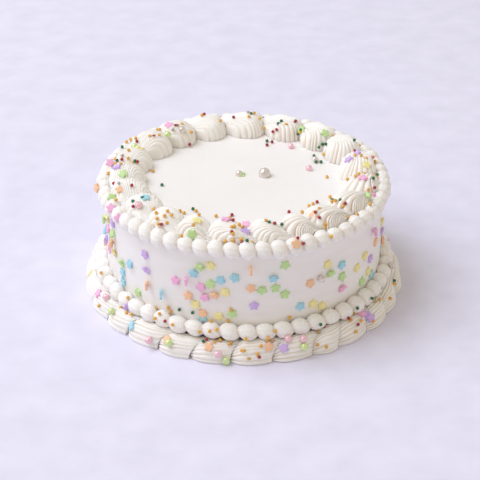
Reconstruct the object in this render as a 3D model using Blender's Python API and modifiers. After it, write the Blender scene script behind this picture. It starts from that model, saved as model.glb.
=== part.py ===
"""Round iced celebration cake with piped cream borders and sugar sprinkles.

Metres, +Z up. The origin is the middle of the cake's foot, and -Y is its front.
Azimuths run anticlockwise seen from above, with 0 at +X and 270 at the front.
"""
import math
import random
from dataclasses import dataclass

import bmesh
import bpy
from mathutils import Matrix, Vector

MM = 0.001

# Driving dimensions of the iced cake
CAKE_RADIUS = 90 * MM
CAKE_HEIGHT = 70.5 * MM
EDGE_ROUNDING = 2 * MM
CAKE_STEPS = 54
GAP = 0.35 * MM

# Crevices between the piped shells, as azimuths in degrees
TOP_CREVICES = (21, 40, 59, 80, 101, 119, 136, 156, 173, 190,
                207, 224, 240, 254, 272, 288, 302, 320, 339, 358)
BASE_FRONT_CREVICES = (239.5, 252, 266, 280.5, 295, 304.5, 319, 331.5)
BASE_SHELLS = 27

# Bead borders; a bead is drawn in by VALLEY_DEPTH where it meets the next
TOP_BEADS = 60
TOP_BEAD_PHASE = 4.5
BASE_BEADS = 54
BASE_BEAD_PHASE = 1.5
BEAD_STATIONS = 3
VALLEY_DEPTH = 0.36

# Sugar sprinkles
STAR_TIP = 3.2 * MM
STAR_WAIST = 2.0 * MM
STAR_THICKNESS = 1.5 * MM
STAR_SINK = 0.5 * MM
STAR_ROOT = 1.3 * MM
STAR_SPACING = 6.7 * MM
STAR_LOWEST = 25.0 * MM
STAR_HIGHEST = 60.8 * MM
PEARL_RADIUS = 2.4 * MM
BIG_PEARL_RADIUS = 4.0 * MM
PEARL_RISE = 0.6
BACK_STARS = 9
LEAN = math.radians(26)
SEED = 7

# Colours of the cream and of the sugar, as linear RGB
CREAM = (0.87, 0.84, 0.81)
SUGAR = {
    "lilac": (0.52, 0.30, 0.76),
    "sky": (0.22, 0.60, 0.72),
    "green": (0.36, 0.66, 0.22),
    "yellow": (0.84, 0.70, 0.24),
    "orange": (0.90, 0.40, 0.18),
    "pink": (0.83, 0.30, 0.56),
    "lime": (0.60, 0.72, 0.30),
    "rose": (0.84, 0.50, 0.64),
    "silver": (0.72, 0.68, 0.68),
}

# Runs of stars on the wall: azimuth in degrees, height in mm,
# direction in degrees with 0 to the right and 90 up, step in mm, colours
WALL_RUNS = (
    (190.5, 52.0, -88, 8.2, "green sky orange"),
    (197.8, 58.5, -90, 7.4, "yellow pink lilac pink"),
    (204.6, 60.8, -87, 6.9, "lilac green orange yellow"),
    (212.3, 38.5, -86, 6.9, "green sky sky"),
    (218.6, 42.6, 0, 7.0, "sky"),
    (223.1, 24.8, 0, 7.0, "green"),
    (228.3, 56.2, -84, 10.4, "lilac lilac orange"),
    (236.9, 33.7, 0, 7.0, "sky"),
    (242.8, 45.7, 0, 7.0, "pink"),
    (247.9, 48.4, 52, 6.8, "pink sky green"),
    (257.4, 60.8, 0, 7.0, "yellow"),
    (253.4, 44.9, 28, 6.9, "pink green sky"),
    (254.9, 38.1, 22, 6.8, "pink orange yellow"),
    (266.6, 53.8, 0, 7.0, "sky"),
    (248.2, 37.2, -50, 7.2, "orange yellow orange"),
    (260.4, 25.4, 18, 8.6, "yellow green"),
    (272.6, 60.4, 0, 7.0, "orange"),
    (272.8, 46.4, -14, 6.9, "orange green"),
    (274.0, 33.9, 0, 7.0, "lilac"),
    (281.4, 52.6, -80, 7.3, "sky green"),
    (286.0, 40.2, 0, 7.0, "green"),
    (285.9, 60.7, 0, 7.0, "green"),
    (296.6, 44.0, 0, 7.0, "orange"),
    (304.4, 53.6, -72, 7.4, "yellow green"),
    (292.5, 29.2, 0, 7.0, "sky"),
    (298.0, 28.6, -30, 7.6, "yellow yellow"),
    (311.8, 49.0, -87, 8.6, "sky green pink"),
    (321.3, 40.0, 0, 7.0, "yellow"),
    (325.4, 27.0, 0, 7.0, "green"),
    (326.8, 44.6, -38, 10.6, "yellow lilac"),
    (330.6, 30.2, -44, 7.4, "yellow sky"),
    (333.4, 57.0, 0, 7.0, "pink"),
    (337.4, 46.0, 0, 7.0, "orange"),
    (348.6, 51.0, -70, 9.4, "yellow lilac orange"),
)
WALL_PEARLS = ((301.2, 45.7, "silver"),)

# Pearls on the top disc: azimuth in degrees, distance from the middle in mm, radius, colour
DISC_PEARLS = (
    (33.0, 16.0, BIG_PEARL_RADIUS, "silver"),
    (108.5, 9.9, PEARL_RADIUS, "rose"),
    (21.8, 46.0, PEARL_RADIUS, "rose"),
    (57.0, 58.4, PEARL_RADIUS, "rose"),
    (31.8, 55.6, PEARL_RADIUS, "silver"),
)

# Large sprinkles on the shells: shell number from 1, kind, colour,
# distance behind the head's middle and distance outwards, in mm
TOP_TOPPINGS = (
    (2, "star", "green", -6, -1), (6, "pearl", "silver", 3, -7), (7, "pearl", "lime", -6, -5),
    (8, "star", "yellow", -5, -2), (9, "star", "lilac", 3, 6.5), (11, "star", "sky", 3.5, 0.5),
    (13, "star", "yellow", 3, 3), (14, "star", "pink", 1, -3), (17, "star", "orange", -6, 0.5),
    (19, "star", "pink", 1.5, 2), (20, "star", "lilac", 3.5, -6), (20, "star", "yellow", -4.5, 4.5),
)
BASE_TOPPINGS = (
    (1, "star", "orange", -1.5, 4.2), (2, "star", "orange", 3, 4), (4, "star", "lilac", -1.5, 4.6),
    (7, "star", "lilac", -4, 4.4), (11, "star", "pink", 1, 4.2), (15, "pearl", "silver", 1, 4.6),
    (19, "star", "green", 1, 4.2), (24, "star", "yellow", -2.5, 4.5), (25, "star", "pink", 1.5, 4.2),
    (26, "pearl", "lime", -0.5, 4.4), (27, "star", "sky", -4, 4.2),
)


@dataclass
class Border:
    """A ring of piped shells: where it lies and the size of a usual shell."""

    ring_radius: float
    base: float
    half_width: float
    front: float
    height: float
    tail_width: float
    tail_height: float
    tail_shift: float
    grooves: int
    groove_depth: float
    rows: tuple
    fixed_side: int
    fullness: float


@dataclass
class Shell:
    """One shell of a border: its place on the ring and its own size."""

    border: Border
    centre: float
    half_width: float
    front: float
    height: float
    offset: float


TOP_BORDER = Border(
    ring_radius=73.9 * MM, base=CAKE_HEIGHT + GAP, half_width=12.3 * MM, front=11 * MM,
    height=13.2 * MM, tail_width=0.62, tail_height=0.52, tail_shift=0.31, grooves=7,
    groove_depth=1.1 * MM, rows=(0.0, 0.1, 0.42, 1.0), fixed_side=1, fullness=1.4)
BASE_BORDER = Border(
    ring_radius=98.3 * MM, base=0.0, half_width=7.8 * MM, front=9 * MM,
    height=12.3 * MM, tail_width=0.58, tail_height=0.5, tail_shift=0.32, grooves=5,
    groove_depth=0.8 * MM, rows=(0.0, 0.12, 0.45, 1.0), fixed_side=-1, fullness=1.0)

# The foot of a shell opens this far to each side of the head's front
RIM_SPREAD = math.radians(126)
TAIL_RECESS = 2.4 * MM
TAIL_GAP = 0.45 * MM
HEAD_SETBACK = 0.8
UNEVEN = 0.05


def make_material(name, colour, roughness, metallic=0.0):
    """A Principled material with one colour."""
    material = bpy.data.materials.new(name)
    material.use_nodes = True
    shader = material.node_tree.nodes["Principled BSDF"]
    shader.inputs["Base Color"].default_value = (*colour, 1.0)
    shader.inputs["Roughness"].default_value = roughness
    shader.inputs["Metallic"].default_value = metallic
    material.diffuse_color = (*colour, 1.0)
    return material


def mesh_from(bm, name):
    """Turn a finished bmesh into a mesh."""
    mesh = bpy.data.meshes.new(name)
    bm.to_mesh(mesh)
    bm.free()
    return mesh


def add_object(name, mesh, collection, material=None):
    """Link a mesh to a collection as an object."""
    piece = bpy.data.objects.new(name, mesh)
    collection.objects.link(piece)
    if material is not None:
        mesh.materials.clear()
        mesh.materials.append(material)
    return piece


def spot(azimuth, radius, height):
    """A point given by its azimuth in degrees, distance from the middle and height."""
    angle = math.radians(azimuth)
    return Vector((radius * math.cos(angle), radius * math.sin(angle), height))


def lie_on(place, normal, spin):
    """A placement with local Z along the normal, turned by spin about it."""
    turned = normal.to_track_quat("Z", "Y").to_matrix().to_4x4()
    return Matrix.Translation(place) @ turned @ Matrix.Rotation(spin, 4, "Z")


def star_mesh(root):
    """A five-pointed sugar star standing STAR_THICKNESS - root above its place."""
    bm = bmesh.new()
    bmesh.ops.create_circle(bm, cap_ends=True, segments=10, radius=STAR_TIP)
    for corner in bm.verts:
        step = round(math.atan2(corner.co.x, corner.co.y) / math.radians(36))
        if step % 2:
            corner.co *= STAR_WAIST / STAR_TIP
    bmesh.ops.translate(bm, verts=bm.verts, vec=(0, 0, -root))
    top = bmesh.ops.extrude_face_region(bm, geom=list(bm.faces))
    raised = [item for item in top["geom"] if isinstance(item, bmesh.types.BMVert)]
    height = STAR_THICKNESS - STAR_SINK + root
    bmesh.ops.translate(bm, verts=raised, vec=(0, 0, height))
    bmesh.ops.recalc_face_normals(bm, faces=bm.faces)
    return mesh_from(bm, "star")


def pearl_mesh(radius):
    """A sugar pearl whose middle stands PEARL_RISE of its radius above its place."""
    bm = bmesh.new()
    bmesh.ops.create_uvsphere(bm, u_segments=7, v_segments=4, radius=radius)
    bmesh.ops.translate(bm, verts=bm.verts, vec=(0, 0, radius * PEARL_RISE))
    return mesh_from(bm, "pearl")


def fuse(piece, toppings):
    """Join every object of the toppings collection to the piece, and drop them."""
    if toppings.objects:
        union = piece.modifiers.new("sprinkles", "BOOLEAN")
        union.operation = "UNION"
        union.operand_type = "COLLECTION"
        union.collection = toppings
        union.solver = "EXACT"
        union.material_mode = "TRANSFER"
    bpy.context.view_layer.update()
    shape = piece.evaluated_get(bpy.context.evaluated_depsgraph_get())
    joined = bpy.data.meshes.new_from_object(shape)
    piece.modifiers.clear()
    piece.data = joined
    joined.name = piece.name
    for topping in list(toppings.objects):
        bpy.data.objects.remove(topping)
    bpy.data.collections.remove(toppings)


def new_toppings(name):
    """A collection that holds one piece's sprinkles until they are fused."""
    toppings = bpy.data.collections.new(name + "_sprinkles")
    bpy.context.scene.collection.children.link(toppings)
    return toppings


def on_wall(azimuth, height, spin, lean):
    """A placement on the wall, leaning out at its top by the lean angle."""
    place = spot(azimuth, CAKE_RADIUS, height)
    outward = Vector((place.x, place.y, 0)).normalized()
    sideways = Vector((0, 0, 1)).cross(outward)
    normal = Matrix.Rotation(lean, 3, sideways) @ outward
    return lie_on(place, normal, spin)


def front_stars():
    """The stars of the wall's runs, as azimuth, height and colour."""
    stars = []
    for azimuth, height, direction, step, colours in WALL_RUNS:
        for index, colour in enumerate(colours.split()):
            along = index * step * MM * math.cos(math.radians(direction))
            up = index * step * MM * math.sin(math.radians(direction))
            turned = azimuth + math.degrees(along / CAKE_RADIUS)
            level = min(max(height * MM + up, STAR_LOWEST), STAR_HIGHEST)
            stars.append((turned, level, colour))
    return stars


def wall_stars(rng):
    """All stars of the wall: the runs, then an even scatter over the back."""
    stars = front_stars()
    colours = ("lilac", "sky", "green", "yellow", "orange", "pink")
    wanted = len(stars) + BACK_STARS
    while len(stars) < wanted:
        azimuth = rng.uniform(-4, 186)
        level = rng.uniform(STAR_LOWEST, STAR_HIGHEST)
        nearest = min(
            math.hypot(math.radians((azimuth - other[0] + 180) % 360 - 180) * CAKE_RADIUS,
                       level - other[1]) for other in stars)
        if nearest > STAR_SPACING + 3 * MM:
            stars.append((azimuth, level, rng.choice(colours)))
    return stars


def cake_profile():
    """Half of the cake's upright section, from the middle of the top to the middle of the foot."""
    corner = CAKE_RADIUS - EDGE_ROUNDING
    points = [(0.0, CAKE_HEIGHT)]
    for step in range(3):
        angle = math.radians(90 - 45 * step)
        points.append((corner + EDGE_ROUNDING * math.cos(angle),
                       CAKE_HEIGHT - EDGE_ROUNDING + EDGE_ROUNDING * math.sin(angle)))
    points.append((CAKE_RADIUS, 0.0))
    points.append((0.0, 0.0))
    return points


def build_body(collection, cream, sugar):
    """The iced cake with the stars on its wall and the pearls on its top."""
    bm = bmesh.new()
    corners = [bm.verts.new((radius, 0, height)) for radius, height in cake_profile()]
    for upper, lower in zip(corners, corners[1:]):
        bm.edges.new((upper, lower))
    body = add_object("cake_body", mesh_from(bm, "cake_body"), collection, cream)
    turning = body.modifiers.new("turning", "SCREW")
    turning.axis = "Z"
    turning.steps = CAKE_STEPS
    turning.render_steps = CAKE_STEPS
    turning.use_merge_vertices = True
    turning.merge_threshold = 0.05 * MM
    turning.use_smooth_shade = True

    toppings = new_toppings("cake_body")
    rng = random.Random(SEED)
    star = star_mesh(STAR_SINK)
    for number, (azimuth, height, colour) in enumerate(wall_stars(rng)):
        lean = LEAN if number % 6 == 5 and height > 27 * MM else math.radians(rng.uniform(-4, 4))
        piece = add_object("star", star.copy(), toppings, sugar[colour])
        piece.matrix_world = on_wall(azimuth, height, rng.uniform(0, math.tau), lean)
    for azimuth, height, colour in WALL_PEARLS:
        piece = add_object("pearl", pearl_mesh(PEARL_RADIUS), toppings, sugar[colour])
        piece.matrix_world = on_wall(azimuth, height * MM, 0, 0)
    for azimuth, distance, radius, colour in DISC_PEARLS:
        piece = add_object("pearl", pearl_mesh(radius), toppings, sugar[colour])
        place = spot(azimuth, distance * MM, CAKE_HEIGHT)
        piece.matrix_world = lie_on(place, Vector((0, 0, 1)), math.radians(azimuth))
    fuse(body, toppings)
    return body


def make_shells(border, crevices, rng):
    """The shells of a border, each a little uneven, from the crevices in front of their heads."""
    shells = []
    for azimuth in crevices:
        half_width = border.half_width * (1 + rng.uniform(-UNEVEN, UNEVEN / 5))
        front = border.front * (1 + rng.uniform(-UNEVEN, UNEVEN))
        height = border.height * (1 + rng.uniform(-2 * UNEVEN, UNEVEN / 5))
        centre = math.radians(azimuth) * border.ring_radius + HEAD_SETBACK * front
        offset = border.fixed_side * (border.half_width - half_width)
        shells.append(Shell(border, centre, half_width, front, height, offset))
    return shells


def tail_limit(shell, follower, across, up):
    """How far behind the head's middle the tail may reach, so that it meets the next head."""
    turn = math.tau * shell.border.ring_radius
    pitch = (follower.centre - shell.centre) % turn
    side = (across + shell.offset - follower.offset) / (follower.half_width + TAIL_GAP)
    rise = up / (follower.height + TAIL_GAP)
    inside = max(0.0, 1 - side * side - rise * rise)
    return pitch - (follower.front + TAIL_GAP) * math.sqrt(inside)


def tail_middle(shell):
    """How far across the ring the tail's middle line lies; one side of a shell stays straight."""
    return shell.border.fixed_side * shell.border.tail_shift * shell.half_width


def tail_reach(shell, follower):
    """Length of the shell behind its head's middle, at the tail's crest."""
    return tail_limit(shell, follower, tail_middle(shell), shell.height * shell.border.tail_height)


def section_size(shell, tail_end, along):
    """Middle, half width and height of the cross-section at a distance behind the head's middle."""
    border = shell.border
    if along < 0:
        fullness = math.sqrt(max(0.0, 1 - (along / shell.front) ** 2))
        return 0.0, shell.half_width * fullness, shell.height * fullness
    taper = max(0.0, 1 - min(1.0, along / tail_end) ** 2)
    wide = border.tail_width + (1 - border.tail_width) * taper ** 0.7
    tall = border.tail_height + (1 - border.tail_height) * taper ** 0.85
    middle = tail_middle(shell) * (1 - taper ** 0.7)
    return middle, shell.half_width * wide, shell.height * tall


def dome_height(shell, tail_end, along, across):
    """Height of the smooth shell above its foot; its straight side is fuller than a circle."""
    middle, half_width, height = section_size(shell, tail_end, along)
    side = (across - middle) / half_width if half_width else 1.0
    if abs(side) >= 1:
        return 0.0
    swelling = 0.0
    if side * shell.border.fixed_side > 0:
        swelling = shell.border.fullness * min(1.0, max(0.0, along) / (0.3 * tail_end))
    return height * math.sqrt(1 - abs(side) ** (2 + swelling))


def shell_point(shell, follower, turn, rise):
    """A point of the fluted surface before the shell is bent round the cake.

    turn runs from -1 to 1 over the shell from its inner to its outer side, and
    rise from 0 at the foot to 1 at the tail. The flutes fan out from the tail.
    """
    border = shell.border
    tail_half_width = shell.half_width * border.tail_width
    tail_height = shell.height * border.tail_height
    tail_end = tail_reach(shell, follower)
    opening = abs(turn) * RIM_SPREAD
    side = math.copysign(1.0, turn)
    if opening <= math.pi / 2:
        foot_along = -shell.front * math.cos(opening)
        foot_across = side * shell.half_width * math.sin(opening)
    else:
        foot_along = tail_end * math.sin(opening - math.pi / 2)
        foot_middle, foot_half_width, _ = section_size(shell, tail_end, foot_along)
        foot_across = foot_middle + side * foot_half_width
    tail_across = tail_middle(shell) + tail_half_width * math.sin(turn * math.pi / 2)
    tail_up = tail_height * math.cos(turn * math.pi / 2)
    tail_along = tail_limit(shell, follower, tail_across, tail_up)
    along = foot_along + (tail_along - foot_along) * rise
    across = foot_across + (tail_across - foot_across) * rise
    on_floor = rise == 0.0 or abs(turn) == 1.0
    up = 0.0 if on_floor else dome_height(shell, tail_end, along, across)

    groove = 0.5 - 0.5 * math.cos(math.pi * border.grooves * (turn + 1))
    core = min(max(along, 0.0), 0.6 * tail_end)
    core_middle = section_size(shell, tail_end, core)[0]
    inward = Vector((core - along, core_middle - across, -up))
    if inward.length > border.groove_depth:
        shift = inward.normalized() * border.groove_depth * groove
        along, across, up = along + shift.x, across + shift.y, up + shift.z
    if rise == 1.0:
        along = tail_limit(shell, follower, across, up)
    return along, across, up


def bend(shell, along, across, up):
    """Bend a point of the straight shell round the cake."""
    angle = (shell.centre + along) / shell.border.ring_radius
    radius = shell.border.ring_radius + across + shell.offset
    return Vector((radius * math.cos(angle), radius * math.sin(angle), shell.border.base + up))


def shell_mesh(shell, follower):
    """The closed mesh of one shell, from a grid that runs over it and from foot to tail."""
    border = shell.border
    lines = 2 * border.grooves
    rows = len(border.rows) - 1
    bm = bmesh.new()
    bmesh.ops.create_grid(bm, x_segments=lines, y_segments=rows, size=1.0)
    tail = []
    for corner in bm.verts:
        turn = round(corner.co.x * lines / 2) * 2 / lines
        row = round((corner.co.y + 1) * rows / 2)
        if row == rows:
            tail.append(corner)
        corner.co = bend(shell, *shell_point(shell, follower, turn, border.rows[row]))
    tail_edges = [edge for edge in bm.edges if edge.is_boundary
                  and edge.verts[0] in tail and edge.verts[1] in tail]
    closing = bmesh.ops.extrude_edge_only(bm, edges=tail_edges)
    inner = [item for item in closing["geom"] if isinstance(item, bmesh.types.BMVert)]
    middle = tail_middle(shell)
    recess = tail_limit(shell, follower, middle, 0.0) - TAIL_RECESS
    bmesh.ops.pointmerge(bm, verts=inner, merge_co=bend(shell, recess, middle, 0.0))
    foot = [edge for edge in bm.edges if edge.is_boundary]
    bmesh.ops.contextual_create(bm, geom=foot)
    bmesh.ops.triangulate(bm, faces=bm.faces, ngon_method="EAR_CLIP")
    bmesh.ops.recalc_face_normals(bm, faces=bm.faces)
    return mesh_from(bm, "shell")


def on_shell(piece, shell, follower, along, across, spin):
    """A placement on a shell's piece, with local Z along the smooth shell's normal."""
    tail_end = tail_reach(shell, follower)
    step = 0.2 * MM

    def surface(at_along, at_across):
        return bend(shell, at_along, at_across, dome_height(shell, tail_end, at_along, at_across))

    ahead = surface(along + step, across) - surface(along - step, across)
    outward = surface(along, across + step) - surface(along, across - step)
    normal = outward.cross(ahead).normalized()
    above = surface(along, across) + normal * shell.height
    seat = piece.ray_cast(above, -normal)[1]
    return lie_on(seat, normal, spin)


def build_shells(name, shells, placed, collection, cream, sugar):
    """Every shell of a border, each a piece of its own with its sprinkles fused on."""
    star = star_mesh(STAR_ROOT)
    rng = random.Random(name)
    for number, shell in enumerate(shells, start=1):
        follower = shells[number % len(shells)]
        piece_name = f"{name}_{number:02d}"
        piece = add_object(piece_name, shell_mesh(shell, follower), collection, cream)
        toppings = new_toppings(piece_name)
        for place_number, kind, colour, along, across in placed:
            if place_number != number:
                continue
            mesh = star.copy() if kind == "star" else pearl_mesh(PEARL_RADIUS)
            topping = add_object(kind, mesh, toppings, sugar[colour])
            spin = rng.uniform(0, math.tau)
            bpy.context.view_layer.update()
            topping.matrix_world = on_shell(
                piece, shell, follower, along * MM, across * MM, spin)
        fuse(piece, toppings)
        piece.data.shade_smooth()
        piece.data.set_sharp_from_angle(angle=math.radians(50))


def build_beads(name, count, phase, middle, sections, collection, cream):
    """A border of touching beads: a ring whose section swells at each bead.

    sections holds the section's corners as pairs of distance from the middle of the
    cake and height, each with a mark that says if the corner swells with the bead.
    """
    steps = BEAD_STATIONS * count
    bpy.ops.mesh.primitive_torus_add(
        major_segments=steps, minor_segments=len(sections),
        major_radius=CAKE_RADIUS, minor_radius=CAKE_RADIUS / 20)
    piece = bpy.context.active_object
    piece.name = name
    piece.data.name = name
    for owner in list(piece.users_collection):
        owner.objects.unlink(piece)
    collection.objects.link(piece)
    piece.data.materials.append(cream)
    for corner in piece.data.vertices:
        ring = math.hypot(corner.co.x, corner.co.y)
        around = math.atan2(corner.co.y, corner.co.x) % math.tau
        step = round(around / math.tau * steps) % steps
        section_angle = math.atan2(corner.co.z, ring - CAKE_RADIUS) % math.tau
        index = round(section_angle / math.tau * len(sections)) % len(sections)
        radius, height, swells = sections[index]
        if step % BEAD_STATIONS == 0 and swells:
            radius += (middle[0] - radius) * VALLEY_DEPTH
            height += (middle[1] - height) * VALLEY_DEPTH
        corner.co = spot(phase + step * 360 / steps, radius, height)
    piece.data.shade_smooth()
    return piece


def top_bead_section():
    """Corners of the top bead border, which wraps the cake's upper edge, outermost first."""
    wall = CAKE_RADIUS + GAP
    disc = CAKE_HEIGHT + GAP
    return (
        (94.8 * MM, disc + 0.4 * MM, True),
        (93.0 * MM, disc + 5.2 * MM, True),
        (86.4 * MM, disc + 7.4 * MM, True),
        (86.6 * MM, disc, False),
        (wall, disc, False),
        (wall, disc - 5.0 * MM, False),
        (93.4 * MM, disc - 3.7 * MM, True),
    )


def base_bead_section():
    """Corners of the bead border at the cake's foot, which sits on the base shells."""
    wall = CAKE_RADIUS + GAP
    return (
        (99.0 * MM, 15.8 * MM, True),
        (97.4 * MM, 20.4 * MM, True),
        (93.6 * MM, 22.8 * MM, True),
        (wall, 20.8 * MM, False),
        (wall, 10.6 * MM, False),
        (98.0 * MM, 12.9 * MM, True),
    )


def base_crevices(rng):
    """Crevices of the base border: those of the front, then even steps round the back."""
    rest = BASE_SHELLS - len(BASE_FRONT_CREVICES)
    open_angle = 360 - (BASE_FRONT_CREVICES[-1] - BASE_FRONT_CREVICES[0])
    step = open_angle / (rest + 1)
    back = [BASE_FRONT_CREVICES[-1] + step * (index + 1) + rng.uniform(-1, 1)
            for index in range(rest)]
    return [*BASE_FRONT_CREVICES, *back]


def main():
    for leftover in list(bpy.data.objects):
        bpy.data.objects.remove(leftover)
    cake = bpy.data.collections.new("cake")
    bpy.context.scene.collection.children.link(cake)
    cream = make_material("whipped_cream", CREAM, 0.55)
    sugar = {name: make_material("sugar_" + name, colour, 0.4) for name, colour in SUGAR.items()}

    build_body(cake, cream, sugar)
    rng = random.Random(SEED)
    top_shells = make_shells(TOP_BORDER, TOP_CREVICES, rng)
    base_shells = make_shells(BASE_BORDER, base_crevices(rng), rng)
    build_shells("top_shell", top_shells, TOP_TOPPINGS, cake, cream, sugar)
    build_shells("base_shell", base_shells, BASE_TOPPINGS, cake, cream, sugar)
    build_beads("top_bead_border", TOP_BEADS, TOP_BEAD_PHASE, (90.5 * MM, CAKE_HEIGHT + 1 * MM),
                top_bead_section(), cake, cream)
    build_beads("base_bead_border", BASE_BEADS, BASE_BEAD_PHASE, (93.5 * MM, 15 * MM),
                base_bead_section(), cake, cream)


main()
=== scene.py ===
# %% [markdown]
# An iced celebration cake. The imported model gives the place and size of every
# piece in metres, with +Z up and the front towards -Y. This lesson dresses it:
# each coarse solid is replaced by a finer one of the same form, and then the
# sugar stars, pearls and beads are laid on the cream.

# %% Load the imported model
import math
import random
from dataclasses import dataclass

import bmesh
import bpy
from mathutils import Matrix, Vector, noise
from mathutils.bvhtree import BVHTree


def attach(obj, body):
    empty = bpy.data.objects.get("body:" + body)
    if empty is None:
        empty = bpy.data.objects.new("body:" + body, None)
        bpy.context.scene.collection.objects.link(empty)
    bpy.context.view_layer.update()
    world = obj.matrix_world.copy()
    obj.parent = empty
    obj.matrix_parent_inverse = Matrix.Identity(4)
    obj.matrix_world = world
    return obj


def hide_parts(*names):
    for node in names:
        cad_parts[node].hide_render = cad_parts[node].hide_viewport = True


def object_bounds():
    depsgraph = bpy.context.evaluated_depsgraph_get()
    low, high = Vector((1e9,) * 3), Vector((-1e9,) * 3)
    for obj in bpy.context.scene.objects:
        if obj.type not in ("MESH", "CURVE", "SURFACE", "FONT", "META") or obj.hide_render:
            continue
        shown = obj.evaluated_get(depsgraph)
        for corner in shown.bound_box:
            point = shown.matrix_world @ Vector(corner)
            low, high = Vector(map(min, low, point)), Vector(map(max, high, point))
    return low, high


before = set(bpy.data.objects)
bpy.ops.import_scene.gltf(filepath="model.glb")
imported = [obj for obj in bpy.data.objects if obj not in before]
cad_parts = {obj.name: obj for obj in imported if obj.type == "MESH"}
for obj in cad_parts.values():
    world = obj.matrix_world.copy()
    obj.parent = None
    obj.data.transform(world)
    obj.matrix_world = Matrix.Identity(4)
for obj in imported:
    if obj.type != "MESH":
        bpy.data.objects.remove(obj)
MM = 0.001
cad_box = [list(corner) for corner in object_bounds()]
print("nodes:", len(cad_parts), "box:", cad_box)

# %% [markdown]
# The camera stands in front of the cake and looks down on it at about 30
# degrees. Its distance sets how strongly the near rim looks larger than the
# far one, and the long lens then fills the picture with the cake.

# %% Camera
IMAGE_SIDE = 480
FOCAL_PIXELS = 1375.65
SENSOR_MM = 36.0
CAMERA_PLACE = Vector((0.0, -0.78518, 0.49000))
CAMERA_FORWARD = Vector((-0.002714, 0.861287, -0.508111)).normalized()

scene = bpy.context.scene
camera_data = bpy.data.cameras.new("camera")
camera_data.sensor_width = SENSOR_MM
camera_data.lens = FOCAL_PIXELS / IMAGE_SIDE * SENSOR_MM


def aim(name, data, place, direction):
    """Put a camera or a lamp at a place and point it along a direction."""
    thing = bpy.data.objects.new(name, data)
    thing.location = place
    thing.rotation_mode = "QUATERNION"
    thing.rotation_quaternion = direction.to_track_quat("-Z", "Y")
    scene.collection.objects.link(thing)
    return thing


scene.camera = aim("camera", camera_data, CAMERA_PLACE, CAMERA_FORWARD)
print("lens in mm:", round(camera_data.lens, 1))

# %% [markdown]
# Light. The picture is bright and soft: a large window high on the cake's left,
# a little behind it, and a pale room that fills the shadows. The right side of
# the wall turns away from the window and goes a soft warm grey.

# %% World and lamps
LAMP_TARGET = Vector((0, 0, 0.04))


def linear(code):
    """An sRGB hex colour as linear red, green, blue and alpha."""
    channels = [int(code[place:place + 2], 16) / 255 for place in (1, 3, 5)]
    curve = [c / 12.92 if c <= 0.04045 else ((c + 0.055) / 1.055) ** 2.4 for c in channels]
    return (*curve, 1.0)


scene.view_settings.view_transform = "Standard"
world = bpy.data.worlds.new("pale_room")
scene.world = world
world.use_nodes = True
room = world.node_tree.nodes["Background"]
room.inputs["Color"].default_value = linear("#FFF8E6")
room.inputs["Strength"].default_value = 0.52


def area_lamp(name, place, size, power, colour):
    """A square soft box that faces the middle of the cake."""
    data = bpy.data.lights.new(name, "AREA")
    data.shape = "SQUARE"
    data.size = size
    data.energy = power
    data.color = linear(colour)[:3]
    aim(name, data, place, LAMP_TARGET - Vector(place))


area_lamp("window", (-1.55, 0.22, 2.56), 2.1, 64.5, "#E8EEFF")
area_lamp("left_wall", (-4.6, -1.2, 2.4), 4.0, 34.0, "#FFF6E6")
area_lamp("warm_room", (2.5, -1.7, 0.65), 2.4, 8.4, "#FFE0B8")
print("lamps:", len(bpy.data.lights))

# %% [markdown]
# Materials are small node trees. One helper adds a node, gives it settings
# and values, and links its inputs, so each tree reads as a list of steps.

# %% Material helpers
def add(tree, kind, settings=None, values=None, links=None):
    """Add a node with its settings, its input values and its incoming links."""
    node = tree.nodes.new(kind)
    for name, value in (settings or {}).items():
        setattr(node, name, value)
    for name, value in (values or {}).items():
        node.inputs[name].default_value = value
    for name, socket in (links or {}).items():
        tree.links.new(socket, node.inputs[name])
    return node


def start_material(name, roughness, ior=1.45, metallic=0.0):
    """A named material with its Principled shader and the piece's own coordinates."""
    material = bpy.data.materials.new(name)
    material.use_nodes = True
    tree = material.node_tree
    shader = tree.nodes["Principled BSDF"]
    shader.inputs["Roughness"].default_value = roughness
    shader.inputs["IOR"].default_value = ior
    shader.inputs["Metallic"].default_value = metallic
    place = add(tree, "ShaderNodeTexCoord").outputs["Object"]
    return material, tree, shader, place


def fade(tree, factor, low, high, first, second):
    """A colour that goes from the first to the second while the factor goes from low to high."""
    ramp = add(tree, "ShaderNodeValToRGB", links={"Fac": factor})
    ramp.color_ramp.elements[0].position = low
    ramp.color_ramp.elements[0].color = first
    ramp.color_ramp.elements[1].position = high
    ramp.color_ramp.elements[1].color = second
    return ramp.outputs["Color"]


def cloudy(tree, place, scale, detail=2.0):
    """A noise value whose spots are about one divided by scale, in metres, across."""
    return add(tree, "ShaderNodeTexNoise", values={"Scale": scale, "Detail": detail},
               links={"Vector": place}).outputs["Fac"]


def weighted_sum(tree, first, weight, second):
    """The first value times a weight, added to the second."""
    return add(tree, "ShaderNodeMath", {"operation": "MULTIPLY_ADD"}, {1: weight},
               {0: first, 2: second}).outputs["Value"]


def add_relief(tree, shader, height, strength, distance):
    """Let a height value tilt the surface a little."""
    bump = add(tree, "ShaderNodeBump", values={"Strength": strength, "Distance": distance},
               links={"Height": height})
    tree.links.new(bump.outputs["Normal"], shader.inputs["Normal"])


def glow(shader, weight, scale, radius=None):
    """Let light scatter inside a material."""
    shader.inputs["Subsurface Weight"].default_value = weight
    shader.inputs["Subsurface Scale"].default_value = scale
    if radius:
        shader.inputs["Subsurface Radius"].default_value = radius
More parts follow.
